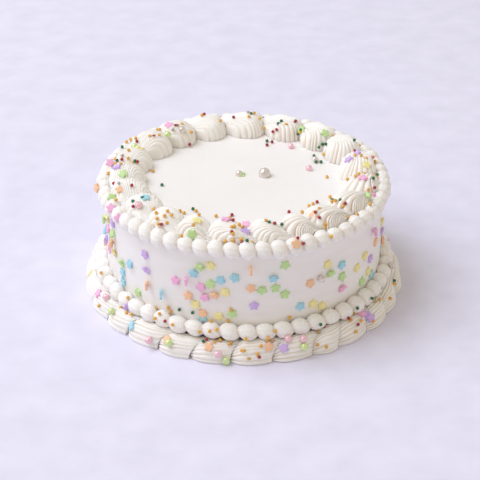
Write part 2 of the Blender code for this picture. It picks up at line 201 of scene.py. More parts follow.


# %% [markdown]
# Whipped cream, piped. Cream scatters light inside, so edges glow and hollows
# fill with warm light. The bag's open tip leaves flutes. The deep line between
# two flutes is painted a little warmer and darker than the ridges, as painted
# shade. Each shell carries that depth as an attribute, and the material reads it.

# %% Piped cream
def piped_cream(name, ridge, valley):
    """Whipped cream whose colour is painted warmer and darker, as shade, where the hollow attribute rises.
    """
    material, tree, shader, place = start_material(name, roughness=0.44)
    hollow_shade = add(tree, "ShaderNodeAttribute", {"attribute_name": "hollow_shade"}).outputs["Fac"]
    # Painted shade: the flutes' valleys and the meetings of beads take the darker, warmer valley colour.
    warm = fade(tree, hollow_shade, 0.15, 0.85, linear(ridge), linear(valley))
    # Butterfat is never perfectly even: patches about 12 mm across, hardly visible.
    patch = cloudy(tree, place, 80.0, 3.0)
    shade = fade(tree, patch, 0.3, 0.75, (0.97, 0.965, 0.96, 1), (1, 1, 1, 1))
    mixed = add(tree, "ShaderNodeMix", {"data_type": "RGBA", "blend_type": "MULTIPLY"})
    mixed.inputs["Factor"].default_value = 1.0
    tree.links.new(warm, mixed.inputs["A"])
    tree.links.new(shade, mixed.inputs["B"])
    tree.links.new(mixed.outputs["Result"], shader.inputs["Base Color"])
    # Fine air bubbles, about 0.6 mm, and the soft drag of the tip at about 3 mm.
    relief = weighted_sum(tree, cloudy(tree, place, 1600.0), 0.35, cloudy(tree, place, 330.0, 3.0))
    # The cut edge of a fine tip leaves comb lines about 1 mm apart on the beads.
    comb = add(tree, "ShaderNodeAttribute", {"attribute_name": "comb"}).outputs["Fac"]
    line = add(tree, "ShaderNodeMath", {"operation": "SINE"}, links={0: comb}).outputs["Value"]
    add_relief(tree, shader, weighted_sum(tree, line, 0.8, relief), 0.35, 0.3 * MM)
    glow(shader, 0.5, 3.5 * MM, (1.0, 0.92, 0.82))
    return material


# The second colour is painted shade for the flutes' valleys and the meetings of beads.
PIPED = piped_cream("piped_whipped_cream", "#FEFAF6", "#F1E6DA")
print("made", PIPED.name)

# %% [markdown]
# Smoothed cream. A long blade leaves the wall and the top almost flat, with
# faint level streaks. It is nearly the same cream as the piping, a little
# rougher and less deep, and its streaks are stretched along the blade's path.

# %% Smoothed cream
def smoothed_cream(name, pale, deep):
    """Whipped cream drawn smooth with a blade."""
    material, tree, shader, place = start_material(name, roughness=0.46)
    drawn = add(tree, "ShaderNodeMapping", values={"Scale": (1.0, 1.0, 7.0)},
                links={"Vector": place}).outputs["Vector"]
    streaks = cloudy(tree, drawn, 26.0, 4.0)
    tone = fade(tree, streaks, 0.3, 0.75, linear(deep), linear(pale))
    tree.links.new(tone, shader.inputs["Base Color"])
    relief = weighted_sum(tree, cloudy(tree, place, 1500.0), 0.12, streaks)
    add_relief(tree, shader, relief, 0.3, 0.5 * MM)
    glow(shader, 0.3, 2.5 * MM, (1.0, 0.93, 0.82))
    return material


SMOOTHED = smoothed_cream("smoothed_whipped_cream", "#F9F6F5", "#F4F1EF")
print("made", SMOOTHED.name)

# %% [markdown]
# Pressed sugar stars. They are stamped from coloured sugar paste, so they are
# matt and slightly grainy. They come in six pastel colours.

# %% Pressed sugar
DEEP_PASTE = 0.9


def pressed_sugar(name, colour):
    """Matt sugar paste with a fine grain."""
    material, tree, shader, place = start_material(name, roughness=0.6, ior=1.5)
    grain = cloudy(tree, place, 900.0)
    deep = tuple(channel * DEEP_PASTE for channel in linear(colour)[:3])
    tone = fade(tree, grain, 0.3, 0.7, (*deep, 1), linear(colour))
    tree.links.new(tone, shader.inputs["Base Color"])
    add_relief(tree, shader, grain, 0.4, 0.15 * MM)
    glow(shader, 0.15, 1.0 * MM)
    return material


STAR_COLOURS = {
    "lilac": "#DABEF6", "sky": "#AEE2F2", "green": "#CCECA8",
    "yellow": "#FDF2AC", "orange": "#FFD0AA", "pink": "#FFC2E8",
}
STAR_PASTE = {name: pressed_sugar("sugar_paste_" + name, code) for name, code in STAR_COLOURS.items()}
print("star colours:", ", ".join(STAR_PASTE))

# %% [markdown]
# Polished sugar: pearls and tiny beads. Both are tumbled in a pan until they
# are round and glossy. Pearls have a shimmer dust on top, which is a clear
# coat over a pale colour, and the tiny beads are strong wine red, bottle
# green and old gold.

# %% Polished sugar
COAT_ROUGHNESS = 0.06
PEARL_IOR = 1.9


def polished_sugar(name, colour, shade, roughness, metallic, coat, ior=1.5):
    """Tumbled sugar with a gloss, mottled by its thin colour layer."""
    material, tree, shader, place = start_material(name, roughness, ior, metallic)
    tone = fade(tree, cloudy(tree, place, 700.0), 0.35, 0.65, linear(shade), linear(colour))
    tree.links.new(tone, shader.inputs["Base Color"])
    shader.inputs["Coat Weight"].default_value = coat
    shader.inputs["Coat Roughness"].default_value = COAT_ROUGHNESS
    return material


PEARL_FINISH = {
    "lime": polished_sugar("sugar_pearl_lime", "#DDF0AC", "#CCE594", 0.24, 0.1, 0.8, PEARL_IOR),
    "rose": polished_sugar("sugar_pearl_rose", "#FBD2DE", "#F4C0D0", 0.24, 0.1, 0.8, PEARL_IOR),
    "silver": polished_sugar("sugar_pearl_silver", "#EDE4E0", "#DACFCC", 0.2, 0.35, 0.8, PEARL_IOR),
}
BEAD_FINISH = {
    "gold": polished_sugar("sugar_bead_gold", "#F2BC48", "#DCA038", 0.3, 0.1, 0.6),
    "crimson": polished_sugar("sugar_bead_crimson", "#B8102C", "#960C24", 0.25, 0.0, 0.7),
    "green": polished_sugar("sugar_bead_green", "#107440", "#0C6034", 0.25, 0.0, 0.7),
    "silver": polished_sugar("sugar_bead_silver", "#CFC8C6", "#B4ACAC", 0.25, 0.6, 0.6),
    "rosy": polished_sugar("sugar_bead_rosy", "#F08A78", "#E07868", 0.3, 0.0, 0.6),
}
print("pearls:", ", ".join(PEARL_FINISH), "beads:", ", ".join(BEAD_FINISH))

# %% [markdown]
# Sponge crumb. Between the lowest shells the cream does not close, and the
# brown crust of the sponge shows in the gaps. It is rough and open.

# %% Sponge crumb
def sponge_crumb(name, crust, crumb):
    """Browned sponge with open pores about 1 mm across."""
    material, tree, shader, place = start_material(name, roughness=0.85, ior=1.4)
    pores = add(tree, "ShaderNodeTexVoronoi", values={"Scale": 900.0},
                links={"Vector": place}).outputs["Distance"]
    tone = fade(tree, pores, 0.1, 0.7, linear(crust), linear(crumb))
    tree.links.new(tone, shader.inputs["Base Color"])
    add_relief(tree, shader, pores, 0.8, 0.5 * MM)
    return material


CRUMB = sponge_crumb("browned_sponge_crumb", "#AC8256", "#DCC29C")
print("made", CRUMB.name)

# %% [markdown]
# The floor is a pale lavender cloth-like sheet, lit a little unevenly. It is
# staging, so it rides on nothing.

# %% Floor
floor_material, floor_tree, floor_shader, floor_place = start_material("pale_lavender_sheet", 0.8)
floor_patch = cloudy(floor_tree, floor_place, 45.0, 5.0)
floor_tone = fade(floor_tree, floor_patch, 0.3, 0.7, linear("#E2E0F3"), linear("#EAE8FB"))
floor_tree.links.new(floor_tone, floor_shader.inputs["Base Color"])


def mesh_of(bm, name):
    """Turn a bmesh into a mesh."""
    mesh = bpy.data.meshes.new(name)
    bm.to_mesh(mesh)
    bm.free()
    return mesh


FLOOR_HALF_SIDE = 6.0
bm = bmesh.new()
bmesh.ops.create_grid(bm, x_segments=1, y_segments=1, size=FLOOR_HALF_SIDE)
floor_mesh = mesh_of(bm, "floor")
floor_mesh.materials.append(floor_material)
floor = bpy.data.objects.new("floor", floor_mesh)
scene.collection.objects.link(floor)
print("floor is staged")

# %% [markdown]
# Every piece ends the same way: its bmesh becomes a mesh, the object stays at
# the origin, it rides on the root body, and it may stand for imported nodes.

# %% Finish a piece
PIECES = []


def finish_piece(bm, name, material, nodes=(), sharp=None):
    """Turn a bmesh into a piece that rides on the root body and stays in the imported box."""
    for corner in bm.verts:
        for axis in range(3):
            low, high = cad_box[0][axis], cad_box[1][axis]
            corner.co[axis] = min(max(corner.co[axis], low), high)
    mesh = mesh_of(bm, name)
    mesh.materials.append(material)
    mesh.shade_smooth()
    if sharp is not None:
        mesh.set_sharp_from_angle(angle=math.radians(sharp))
    piece = bpy.data.objects.new(name, mesh)
    scene.collection.objects.link(piece)
    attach(piece, "root")
    if nodes:
        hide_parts(*nodes)
    PIECES.append(piece)
    return piece


def spot(azimuth, radius, height):
    """A point given by its azimuth in degrees, distance from the middle and height."""
    angle = math.radians(azimuth)
    return Vector((radius * math.cos(angle), radius * math.sin(angle), height))


def wander(place, scale, seed):
    """A smooth random number from about -1 to 1 for a place, given how fast it changes."""
    return noise.noise(Vector(place) * scale + Vector((seed, 0.37 * seed, 0.0)))


def drift(place, scale, seed):
    """A smooth random step in all three directions."""
    return Vector([wander(place, scale, seed + axis) for axis in range(3)])


def spin_round(bm, steps):
    """Spin everything in a bmesh once round the middle of the cake."""
    bmesh.ops.spin(bm, geom=list(bm.verts) + list(bm.edges), cent=(0, 0, 0), axis=(0, 0, 1),
                   dvec=(0, 0, 0), angle=math.tau, steps=steps, use_merge=True)


def upright_circle(bm, corners, radius, place):
    """A circle that stands upright across the ring that it will be spun into."""
    circle = bmesh.ops.create_circle(bm, segments=corners, radius=radius)["verts"]
    bmesh.ops.rotate(bm, verts=circle, matrix=Matrix.Rotation(math.pi / 2, 3, "X"))
    bmesh.ops.translate(bm, verts=circle, vec=place)

# %% [markdown]
# The iced cake. One upright half-section is drawn with the blade-flat top, a
# soft edge and the straight wall, and spun about the middle. The blade never
# leaves a perfect cylinder, so the wall swells and dips by up to 0.3 mm in
# long level streaks, and the top by about as much.

# %% Iced cake
CAKE_RADIUS = 90 * MM
CAKE_HEIGHT = 70.5 * MM
EDGE_ROUNDING = 2 * MM
EDGE_STEPS = 6
SPIN_STEPS = 240
TOP_RINGS = 24
WALL_RINGS = 30
BLADE_WAVE = 0.3 * MM

bm = bmesh.new()
outline = [(CAKE_RADIUS - EDGE_ROUNDING) * ring / TOP_RINGS for ring in range(TOP_RINGS)]
outline = [(radius, CAKE_HEIGHT) for radius in outline]
for step in range(EDGE_STEPS + 1):
    angle = math.pi / 2 * (1 - step / EDGE_STEPS)
    outline.append((CAKE_RADIUS - EDGE_ROUNDING + EDGE_ROUNDING * math.cos(angle),
                    CAKE_HEIGHT - EDGE_ROUNDING + EDGE_ROUNDING * math.sin(angle)))
wall_height = CAKE_HEIGHT - EDGE_ROUNDING
for ring in range(1, WALL_RINGS + 1):
    outline.append((CAKE_RADIUS, wall_height * (1 - ring / WALL_RINGS)))
outline.append((0.0, 0.0))
corners = [bm.verts.new((radius, 0.0, height)) for radius, height in outline]
for pair in zip(corners, corners[1:]):
    bm.edges.new(pair)
spin_round(bm, SPIN_STEPS)
bmesh.ops.remove_doubles(bm, verts=bm.verts, dist=0.01 * MM)
bmesh.ops.recalc_face_normals(bm, faces=bm.faces)
for corner in bm.verts:
    ring = math.hypot(corner.co.x, corner.co.y)
    if corner.co.z > CAKE_HEIGHT - EDGE_ROUNDING / 2:
        corner.co.z += BLADE_WAVE * (wander(corner.co, 22, 3) - 0.3)
    elif ring > CAKE_RADIUS / 2 and corner.co.z > 0:
        level = (corner.co.x, corner.co.y, corner.co.z * 2.2)
        corner.co += Vector((corner.co.x, corner.co.y, 0)) / ring * BLADE_WAVE * wander(level, 24, 5)
iced_cake = finish_piece(bm, "iced_cake", SMOOTHED, ["cake_body"], sharp=60)
print("iced cake faces:", len(iced_cake.data.polygons))

# %% [markdown]
# Piped shells. The bag's tip is held still until the cream swells into a round
# head, then drawn away so that the shell thins into a tail, and the next head
# covers that tail. The shape is a dome whose width and height follow that
# story. On the top border the flutes fan from the tail to the foot, round the
# head, and on the base border they run along the shell. The crevices and the
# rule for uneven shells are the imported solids' own. The sizes are close to
# theirs, with more flutes and finer steps.

# %% Shell sizes
TOP_CREVICES = (21, 40, 59, 80, 101, 119, 136, 156, 173, 190,
                207, 224, 240, 254, 272, 288, 302, 320, 339, 358)
BASE_FRONT_CREVICES = (239.5, 252, 266, 280.5, 295, 304.5, 319, 331.5)
BASE_SHELL_COUNT = 27
RIM_SPREAD = math.radians(126)
HEAD_SETBACK = 0.8
HEAD_FULLNESS = 1.0
UNEVEN = 0.05
SEED = 7
GAP = 0.35 * MM
TAIL_OVERLAP = 0.7 * MM
TAIL_RECESS = 2 * MM
SINK = 0.5 * MM
FLUTE_BEND = 0.12
STEPS_PER_FLUTE = 8
SHELL_ROWS = 24


@dataclass
class Border:
    """A ring of piped shells and the size of a usual shell in it."""

    ring_radius: float
    base: float
    half_width: float
    front: float
    height: float
    tail_width: float
    tail_height: float
    tail_shift: float
    flutes: int
    flute_depth: float
    fixed_side: int
    fullness: float
    sweep: float
    slimming: float
    fans: bool


@dataclass
class Shell:
    """One shell of a border: its place on the ring and its own size."""

    border: Border
    centre: float
    half_width: float
    front: float
    height: float
    offset: float


TOP_BORDER = Border(
    ring_radius=74.5 * MM, base=CAKE_HEIGHT + GAP, half_width=12.9 * MM, front=11 * MM,
    height=13.2 * MM, tail_width=0.62, tail_height=0.52, tail_shift=0.31, flutes=14,
    flute_depth=1.5 * MM, fixed_side=1, fullness=2.6, sweep=0.66, slimming=0.7,
    fans=True)
BASE_BORDER = Border(
    ring_radius=98.3 * MM, base=0.0, half_width=7.8 * MM, front=12 * MM,
    height=13.6 * MM, tail_width=0.56, tail_height=0.92, tail_shift=0.4, flutes=12,
    flute_depth=1.4 * MM, fixed_side=-1, fullness=2.0, sweep=0.0, slimming=1.2,
    fans=False)


def make_shells(border, crevices, rng):
    """The shells of a border, each a little uneven, from the crevices in front of their heads."""
    shells = []
    for azimuth in crevices:
        half_width = border.half_width * (1 + rng.uniform(-UNEVEN, UNEVEN / 5))
        front = border.front * (1 + rng.uniform(-UNEVEN, UNEVEN))
        height = border.height * (1 + rng.uniform(-2 * UNEVEN, UNEVEN / 5))
        centre = math.radians(azimuth) * border.ring_radius + HEAD_SETBACK * front
        offset = border.fixed_side * (border.half_width - half_width)
        shells.append(Shell(border, centre, half_width, front, height, offset))
    return shells


def base_crevices(rng):
    """Crevices of the base border: those of the front, then even steps round the back."""
    rest = BASE_SHELL_COUNT - len(BASE_FRONT_CREVICES)
    open_angle = 360 - (BASE_FRONT_CREVICES[-1] - BASE_FRONT_CREVICES[0])
    step = open_angle / (rest + 1)
    back = [BASE_FRONT_CREVICES[-1] + step * (index + 1) + rng.uniform(-1, 1)
            for index in range(rest)]
    return [*BASE_FRONT_CREVICES, *back]


shell_rng = random.Random(SEED)
TOP_SHELLS = make_shells(TOP_BORDER, TOP_CREVICES, shell_rng)
BASE_SHELLS = make_shells(BASE_BORDER, base_crevices(shell_rng), shell_rng)
print("shells:", len(TOP_SHELLS), "on top,", len(BASE_SHELLS), "at the foot")

# %% Shell surface
def tail_limit(shell, follower, across, up, overlap=TAIL_OVERLAP):
    """How far behind the head's middle the tail reaches before it meets the next head."""
    turn = math.tau * shell.border.ring_radius
    pitch = (follower.centre - shell.centre) % turn
    side = (across + shell.offset - follower.offset) / (follower.half_width - overlap)
    rise = up / (follower.height - overlap)
    inside = max(0.0, 1 - side * side - rise * rise)
    return pitch - (follower.front - overlap) * math.sqrt(inside)


def tail_middle(shell):
    """How far across the ring the tail's middle line lies."""
    return shell.border.fixed_side * shell.border.tail_shift * shell.half_width


def tail_reach(shell, follower):
    """Length of the shell behind its head's middle, at the tail's crest."""
    return tail_limit(shell, follower, tail_middle(shell), shell.height * shell.border.tail_height)


def section_size(shell, tail_end, along):
    """Middle, half width and height of the cross-section at a distance behind the head's middle."""
    border = shell.border
    if along < 0:
        fullness = math.sqrt(max(0.0, 1 - (along / shell.front) ** 2))
        return 0.0, shell.half_width * fullness, shell.height * fullness
    taper = max(0.0, 1 - min(1.0, along / tail_end) ** 2)
    slimmed = taper ** border.slimming
    wide = border.tail_width + (1 - border.tail_width) * slimmed
    tall = border.tail_height + (1 - border.tail_height) * taper ** 0.85
    middle = tail_middle(shell) * (1 - slimmed)
    return middle, shell.half_width * wide, shell.height * tall


def dome_height(shell, tail_end, along, across):
    """Height of the smooth shell above its foot; its straight side is fuller than a circle."""
    middle, half_width, height = section_size(shell, tail_end, along)
    side = (across - middle) / half_width if half_width else 1.0
    if abs(side) >= 1:
        return 0.0
    swelling = 0.0
    if side * shell.border.fixed_side > 0:
        swelling = shell.border.fullness * min(1.0, max(0.0, along) / (0.3 * tail_end))
        swelling = max(swelling, HEAD_FULLNESS)
    return height * math.sqrt(1 - abs(side) ** (2 + swelling))


def tail_point(shell, follower, turn):
    """Where a flute ends at the tail: how far behind the head's middle, and how far across."""
    half_width = shell.half_width * shell.border.tail_width
    across = tail_middle(shell) + half_width * math.sin(turn * math.pi / 2)
    up = shell.height * shell.border.tail_height * math.cos(turn * math.pi / 2)
    return tail_limit(shell, follower, across, up), across


def fan_point(shell, follower, turn, rise):
    """A point of a shell whose flutes fan out from the tail to the foot.

    turn runs from -1 to 1 from the inner to the outer side, and rise from 0
    at the foot to 1 at the tail.
    """
    tail_end = tail_reach(shell, follower)
    opening = abs(turn) * RIM_SPREAD
    side = math.copysign(1.0, turn)
    if opening <= math.pi / 2:
        foot_along = -shell.front * math.cos(opening)
        foot_across = side * shell.half_width * math.sin(opening)
    else:
        foot_along = tail_end * math.sin(opening - math.pi / 2)
        foot_middle, foot_half_width, _ = section_size(shell, tail_end, foot_along)
        foot_across = foot_middle + side * foot_half_width
    tail_along, tail_across = tail_point(shell, follower, turn)
    # The flute is a bent line: it leaves the tail along the crest and turns down to the foot.
    bend_along = foot_along + (tail_along - foot_along) * FLUTE_BEND
    bend_across = foot_across + (tail_across - foot_across) * FLUTE_BEND
    bend_across *= 1 - shell.border.sweep * (1 - abs(turn) ** 4)
    start, middle, end = (1 - rise) ** 2, 2 * rise * (1 - rise), rise ** 2
    along = start * foot_along + middle * bend_along + end * tail_along
    across = start * foot_across + middle * bend_across + end * tail_across
    on_floor = rise == 0.0 or abs(turn) == 1.0
    return along, across, 0.0 if on_floor else dome_height(shell, tail_end, along, across)


def lengthwise_point(shell, follower, turn, rise):
    """A point of a shell whose flutes run along it, from the front of its head to its tail."""
    tail_end = tail_reach(shell, follower)
    tail_along, _ = tail_point(shell, follower, turn)
    along = -shell.front + (tail_along + shell.front) * rise
    middle, half_width, _ = section_size(shell, tail_end, along)
    across = middle + half_width * math.sin(turn * math.pi / 2)
    on_floor = rise == 0.0 or abs(turn) == 1.0
    return along, across, 0.0 if on_floor else dome_height(shell, tail_end, along, across)


def draw_in(shell, follower, point, groove):
    """Move a point of the smooth shell inwards where groove says that a valley runs."""
    along, across, up = point
    tail_end = tail_reach(shell, follower)
    core = min(max(along, 0.0), 0.6 * tail_end)
    core_middle = section_size(shell, tail_end, core)[0]
    inward = Vector((core - along, core_middle - across, -up))
    if inward.length > shell.border.flute_depth:
        shift = inward.normalized() * shell.border.flute_depth * groove
        along, across, up = along + shift.x, across + shift.y, up + shift.z
    return along, across, up


def bend(shell, along, across, up):
    """Bend a point of the straight shell round the cake."""
    angle = (shell.centre + along) / shell.border.ring_radius
    radius = shell.border.ring_radius + across + shell.offset
    return Vector((radius * math.cos(angle), radius * math.sin(angle), shell.border.base + up))

# %% [markdown]
# One shell is a grid bent into shape: its lines follow the flutes, its rows run
# from the foot to the tail, and the rows crowd at the foot, where the surface
# is steep. No two flutes are equally wide or deep, as the hand turns the bag a
# little while it squeezes. Four shells at the right front were piped with the
# bag turned, and their inner flutes are broad. Those round the back and the
# left have shallower flutes. The tail's edge is drawn in to a point inside the
# next head, and the foot is closed with one face.

# %% Shell mesh
CREAM_WOBBLE = 0.35 * MM
SHELL_WOBBLE = 0.6 * MM
CALM_HEIGHT = 3 * MM
FLUTE_FADE = 0.55
BROAD_SHELLS = (16, 17, 18, 19)
BROAD_FLUTES = 5
BROAD_WIDTH = 4
NARROW_WIDTH = 0.8
BROAD_DEPTH = 1.7
SOFT_SHELLS = range(4, 13)
SOFT_DEPTH = 0.7


def flute_edges(flutes, rng, broad):
    """Where the flutes of one shell begin and end, over turn from -1 to 1, and their depths.

    A broad shell was piped with the bag turned, and its inner flutes are far wider.
    """
    widths = [rng.uniform(0.7, 1.35) for _ in range(flutes)]
    if broad:
        widths = [width * (BROAD_WIDTH if index < BROAD_FLUTES else NARROW_WIDTH)
                  for index, width in enumerate(widths)]
    whole = sum(widths)
    edges = [2 * sum(widths[:index]) / whole - 1 for index in range(flutes)] + [1.0]
    depths = [rng.uniform(0.55, 1.0) for _ in range(flutes + 1)]
    if broad:
        depths = [depth * (BROAD_DEPTH if index <= BROAD_FLUTES else 1.0)
                  for index, depth in enumerate(depths)]
    return edges, depths


def shell_bmesh(shell, follower, seed, broad=False, soft=False):
    """The closed bmesh of one shell, with the groove depth that the cream material paints as shade."""
    edges, depths = flute_edges(shell.border.flutes, random.Random(seed), broad)
    shape = fan_point if shell.border.fans else lengthwise_point
    lines = shell.border.flutes * STEPS_PER_FLUTE
    bm = bmesh.new()
    hollow_shade = bm.verts.layers.float.new("hollow_shade")
    bmesh.ops.create_grid(bm, x_segments=lines, y_segments=SHELL_ROWS, size=1.0)
    tail = []
    for corner in bm.verts:
        line = round((corner.co.x + 1) * lines / 2)
        flute, step = divmod(line, STEPS_PER_FLUTE)
        within = step / STEPS_PER_FLUTE
        turn = edges[flute] + (edges[flute + 1] - edges[flute]) * within if step else edges[flute]
        row = round((corner.co.y + 1) * SHELL_ROWS / 2)
        if row == SHELL_ROWS:
            tail.append(corner)
        rise = (row / SHELL_ROWS) ** 1.5
        valley = depths[flute] if within < 0.5 else depths[flute + 1]
        groove = (1 - math.sin(math.pi * within) ** 0.8) * valley * (1 - FLUTE_FADE * rise)
        groove *= SOFT_DEPTH if soft else 1.0
        point = shape(shell, follower, turn, rise)
        along, across, up = draw_in(shell, follower, point, groove)
        corner.co = bend(shell, along, across, up)
        # The groove depth also sets how much painted shade the valley gets.
        corner[hollow_shade] = groove
        corner.co += drift(corner.co, 110, seed) * SHELL_WOBBLE * min(1.0, up / CALM_HEIGHT)
        if row == 0 or abs(turn) == 1:
            corner.co.z = max(0.0, corner.co.z - SINK)
    bmesh.ops.remove_doubles(bm, verts=bm.verts, dist=0.001 * MM)
    tail_edges = [edge for edge in bm.edges if edge.is_boundary
                  and edge.verts[0] in tail and edge.verts[1] in tail]
    closing = bmesh.ops.extrude_edge_only(bm, edges=tail_edges)
    inner = [item for item in closing["geom"] if isinstance(item, bmesh.types.BMVert)]
    middle = tail_middle(shell)
    recess = bend(shell, tail_limit(shell, follower, middle, 0.0) - TAIL_RECESS, middle, 0.0)
    recess.z = max(0.0, recess.z - SINK)
    bmesh.ops.pointmerge(bm, verts=inner, merge_co=recess)
    foot = [edge for edge in bm.edges if edge.is_boundary]
    bmesh.ops.contextual_create(bm, geom=foot)
    bmesh.ops.triangulate(bm, faces=[face for face in bm.faces if len(face.verts) > 4])
    bmesh.ops.recalc_face_normals(bm, faces=bm.faces)
    return bm


# %% Pipe both shell borders
for border_name, shells in (("top_shell", TOP_SHELLS), ("base_shell", BASE_SHELLS)):
    for number, shell in enumerate(shells, start=1):
        follower = shells[number % len(shells)]
        node = f"{border_name}_{number:02d}"
        broad = border_name == "top_shell" and number in BROAD_SHELLS
        soft = border_name == "top_shell" and number in SOFT_SHELLS
        bm = shell_bmesh(shell, follower, number, broad, soft)
        finish_piece(bm, "piped_" + node, PIPED, [node], sharp=75)
    print(border_name, "pieces:", len(shells))

# %% [markdown]
# Bead borders. A round tip is squeezed and released again and again, so the
# cream swells into beads that touch. Here a ring is a torus whose section
# swells and shrinks along it: a full oval at the middle of a bead, and a
# smaller one where two beads meet. The meeting line leans, because each bead
# is laid over the tail of the last.

# %% Bead rings
PLAIN_RADIUS = 2.0
STATIONS_PER_BEAD = 16
SECTION_CORNERS = 44
BEAD_LEAN = 0.14
BEAD_FLUTES = 9
BEAD_FLUTE_DEPTH = 0.032
BEAD_PINCH = 0.74
COMB_LINES = 24


@dataclass
class BeadRing:
    """A border of beads: its count, and the oval section of a full bead."""

    count: int
    phase: float
    radius: float
    height: float
    reach: float
    rise: float
    tilt: float


TOP_BEADS = BeadRing(60, 4.5, 89.9 * MM, 72.4 * MM, 4.9 * MM, 5.4 * MM, 0.2)
BASE_BEADS = BeadRing(54, 1.5, 94.0 * MM, 17.3 * MM, 5.2 * MM, 5.4 * MM, 0.1)


def bead_ring(ring, name, node, seed):
    """A ring of touching beads, made from an oval spun round the cake."""
    rng = random.Random(seed)
    sizes = [rng.uniform(0.88, 1.04) for _ in range(ring.count)]
    shifts = [rng.uniform(-0.4, 0.4) * MM for _ in range(ring.count)]
    turns = [rng.uniform(0, math.tau) for _ in range(ring.count)]
    bm = bmesh.new()
    hollow_shade = bm.verts.layers.float.new("hollow_shade")
    comb = bm.verts.layers.float.new("comb")
    upright_circle(bm, SECTION_CORNERS, 1.0, (PLAIN_RADIUS, 0, 0))
    steps = ring.count * STATIONS_PER_BEAD
    spin_round(bm, steps)
    for corner in bm.verts:
        around = math.atan2(corner.co.y, corner.co.x) % math.tau
        outward = math.hypot(corner.co.x, corner.co.y) - PLAIN_RADIUS
        upward = corner.co.z
        step = round(around / math.tau * steps)
        place = step / STATIONS_PER_BEAD + BEAD_LEAN * upward / 2
        number = math.floor(place + 0.5)
        along = 2 * (place - number)
        bead = number % ring.count
        around_section = math.atan2(upward, outward)
        flute = math.cos(BEAD_FLUTES * around_section + turns[bead] + along)
        swell = sizes[bead] * math.sqrt(1 - BEAD_PINCH * along * along) * (1 + BEAD_FLUTE_DEPTH * flute)
        # Painted shade where two beads meet: the value rises towards the meeting line.
        corner[hollow_shade] = max(0.0, abs(along) * 3 - 2.2)
        corner[comb] = COMB_LINES * (math.cos(turns[bead]) * around_section
                                     + math.sin(turns[bead]) * along)
        across = ring.reach * outward * swell
        up = ring.rise * upward * swell + shifts[bead] * (1 - along * along)
        across, up = across - ring.tilt * up, up + ring.tilt * 0.3 * across
        azimuth = ring.phase + 360 / ring.count / 2 + step * 360 / steps
        corner.co = spot(azimuth, ring.radius + across, ring.height + up)
        corner.co += drift(corner.co, 90, seed) * CREAM_WOBBLE
    bmesh.ops.recalc_face_normals(bm, faces=bm.faces)
    return finish_piece(bm, name, PIPED, [node])


top_ring = bead_ring(TOP_BEADS, "piped_top_beads", "top_bead_border", 11)
base_ring = bead_ring(BASE_BEADS, "piped_base_beads", "base_bead_border", 12)
print("bead faces:", len(top_ring.data.polygons), len(base_ring.data.polygons))

# %% [markdown]
# Under the lower beads the cream does not quite close. A ring of browned sponge
# lies behind the base shells, and in four places a lump of it stands out.

# %% Bare sponge
SPONGE_RADIUS = 94.3 * MM
SPONGE_LEVEL = 6.8 * MM
SPONGE_THICKNESS = 4.4 * MM
LUMP_RADIUS = 97.4 * MM
LUMP_LEVEL = 12.2 * MM
LUMP_PLACES = ((265.5, 1.4), (279.3, 3.4), (298.0, 1.2), (328.0, 1.6))

bm = bmesh.new()
upright_circle(bm, 24, SPONGE_THICKNESS, (SPONGE_RADIUS, 0, SPONGE_LEVEL))
spin_round(bm, SPIN_STEPS)
for corner in bm.verts:
    corner.co += drift(corner.co, 130, 40) * CREAM_WOBBLE
bmesh.ops.recalc_face_normals(bm, faces=bm.faces)
finish_piece(bm, "sponge_foot", CRUMB)

bm = bmesh.new()
for azimuth, half_length in LUMP_PLACES:
    lump = bmesh.ops.create_icosphere(bm, subdivisions=4, radius=1.0)["verts"]
    for corner in lump:
        rough = 1 + 0.25 * wander(corner.co, 2.5, azimuth) + 0.12 * wander(corner.co, 7, azimuth)
        corner.co *= rough * MM
    bmesh.ops.scale(bm, verts=lump, vec=(2.2, half_length, 2.0))
    bmesh.ops.rotate(bm, verts=lump, matrix=Matrix.Rotation(math.radians(azimuth), 3, "Z"))
    bmesh.ops.translate(bm, verts=lump, vec=spot(azimuth, LUMP_RADIUS, LUMP_LEVEL))
bare_sponge = finish_piece(bm, "bare_sponge", CRUMB)
print("bare sponge faces:", len(bare_sponge.data.polygons))

# %% [markdown]
# Everything so far is cream. The sugar lies on it, so one search tree of all
# cream faces finds where a ray lands and how the surface faces there.

# %% Find the cream
def cream_tree():
    """A search tree of every cream face made so far."""
    corners = []
    faces = []
    for piece in PIECES:
        first = len(corners)
        corners += [corner.co.copy() for corner in piece.data.vertices]
        faces += [[first + index for index in face.vertices] for face in piece.data.polygons]
    return BVHTree.FromPolygons(corners, faces)


CREAM = cream_tree()
CAMERA_RIGHT = CAMERA_FORWARD.cross(Vector((0, 0, 1))).normalized()
CAMERA_UP = CAMERA_RIGHT.cross(CAMERA_FORWARD)


def seen_at(x, y):
    """The place and normal of the cream that the camera sees at a point of its picture."""
    half = IMAGE_SIDE / 2
    ray = CAMERA_FORWARD * FOCAL_PIXELS + CAMERA_RIGHT * (x - half) - CAMERA_UP * (y - half)
    place, normal, _, _ = CREAM.ray_cast(CAMERA_PLACE, ray.normalized())
    return place, normal


def picture_point(place):
    """The whole pixel at which the camera sees a place, rounded by way of a tenth of a pixel."""
    half = IMAGE_SIDE / 2
    line = place - CAMERA_PLACE
    depth = line.dot(CAMERA_FORWARD)
    x = half + FOCAL_PIXELS * line.dot(CAMERA_RIGHT) / depth
    y = half - FOCAL_PIXELS * line.dot(CAMERA_UP) / depth
    return round(round(x, 1)), round(round(y, 1))


print("ray to the middle of the picture lands at", seen_at(240, 240)[0])

# %% [markdown]
# Sugar shapes. A star is a ten-sided blank whose even corners are pulled out,
# given thickness and a soft pressed edge. Pearls and beads are small spheres.

# %% Sugar shapes
STAR_TIP = 3.7 * MM
STAR_WAIST = 2.1 * MM
STAR_THICKNESS = 1.6 * MM
PEARL_RADIUS = 2.4 * MM
BIG_PEARL_RADIUS = 4.0 * MM
BEAD_RADIUS = 1.12 * MM
TIP_ROUNDING = 0.95 * MM
RIM_ROUNDING = 0.3 * MM


